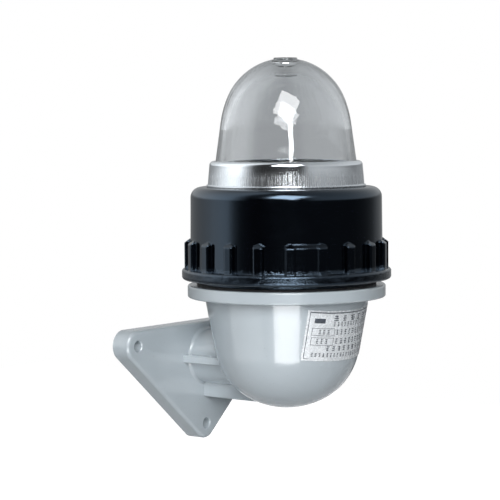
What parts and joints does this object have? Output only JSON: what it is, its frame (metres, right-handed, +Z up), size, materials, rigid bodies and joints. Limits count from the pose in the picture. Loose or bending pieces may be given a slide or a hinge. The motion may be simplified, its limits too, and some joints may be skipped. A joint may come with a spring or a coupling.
{
  "type": "wall bracket lamp",
  "caption": "Wall-bracket lamp: glass dome in an aluminium collar, held by a ribbed black screw ring on a grey bowl with a hollow arm and wall plate; screw-base bulb inside.",
  "frame": {"origin": "on the wall face of the plate, midway between its two upper fixing holes", "axes": "+Z up along the lamp axis, +Y into the wall, +X along the line of the upper fixing holes"},
  "size_m": [0.1556, 0.1441, 0.2469],
  "materials": {
    "grey_moulding": "light grey moulded shell, satin gloss",
    "black_plastic": "glossy black moulded phenolic",
    "clear_glass": "thick pressed clear glass",
    "spun_aluminium": "spun and brushed aluminium",
    "black_rubber": "moulded rubber",
    "label_foil": "printed foil sticker with no readable text",
    "putty": "hardened lamp cement",
    "porcelain": "glazed porcelain",
    "brass": "plain brass",
    "brass_nickel": "nickel-plated brass",
    "zinc_steel": "zinc-plated steel",
    "spring_steel": "drawn wire",
    "cream_plastic": "moulded terminal block",
    "brown_pvc": "brown insulation",
    "blue_pvc": "blue insulation",
    "green_pvc": "green and yellow insulation",
    "bulb_glass": "thin clear bulb glass",
    "black_glass": "black vitrite",
    "solder": "tinned centre contact",
    "tungsten": "coiled filament wire"
  },
  "bodies": {
    "housing": {"housing": "grey_moulding", "bracket_arm": "grey_moulding", "wall_plate": "grey_moulding", "cable_grommet": "black_rubber", "rating_label": "label_foil", "threaded_neck": "black_plastic", "neck_gasket": "black_rubber", "neck_screws": "zinc_steel", "lampholder_body": "porcelain", "threaded_shell": "brass", "contact_spring": "spring_steel", "side_terminals": "brass", "side_terminal_screws": "zinc_steel", "holder_strap": "zinc_steel", "strap_screws": "zinc_steel", "lampholder_screws": "zinc_steel", "terminal_block": "cream_plastic", "block_screws": "brass", "earth_screw": "brass", "earth_washer": "brass", "live_lead": "brown_pvc", "neutral_lead": "blue_pvc", "earth_lead": "green_pvc"},
    "globe_head": {"globe": "clear_glass", "collar": "spun_aluminium", "globe_cement": "putty", "rim_washer": "black_rubber", "globe_gasket": "black_rubber"},
    "clamp_ring": {"clamp_ring": "black_plastic"},
    "bulb_eyelet": {"bulb_eyelet": "solder"},
    "bulb": {"bulb_envelope": "bulb_glass", "bulb_cap": "brass_nickel", "bulb_insulator": "black_glass", "bulb_stem": "bulb_glass", "bulb_wires": "spring_steel", "bulb_filament": "tungsten"},
    "contact_plunger": {"contact_plunger": "brass"}
  },
  "joints": [
    {"name": "head_lift", "type": "slide", "parent": "housing", "child": "globe_head", "axis": [0, 0, 1], "range_m": [0, 0.024]},
    {"name": "ring_turn", "type": "hinge", "parent": "globe_head", "child": "clamp_ring", "pos_m": [0, -0.0781, 0.0699], "axis": [0, 0, 1], "range_deg": [0, 1440.5]},
    {"name": "bulb_rise", "type": "slide", "parent": "housing", "child": "bulb_eyelet", "axis": [0, 0, 1], "range_m": [0, 0.0199]},
    {"name": "bulb_turn", "type": "hinge", "parent": "bulb_eyelet", "child": "bulb", "pos_m": [0, -0.0781, 0.0299], "axis": [0, 0, 1], "range_deg": [0, 1980]},
    {"name": "contact_press", "type": "slide", "parent": "housing", "child": "contact_plunger", "axis": [0, 0, 1], "range_m": [-0.0015, 0], "stiffness_N_per_m": 600, "springref_m": 0.002, "deforming": ["contact_spring"]}
  ],
  "couplings": [
    {"joint": "ring_turn", "follows": "head_lift", "rad_per_m": 1047.2},
    {"joint": "bulb_turn", "follows": "bulb_rise", "rad_per_m": 1731.6}
  ]
}
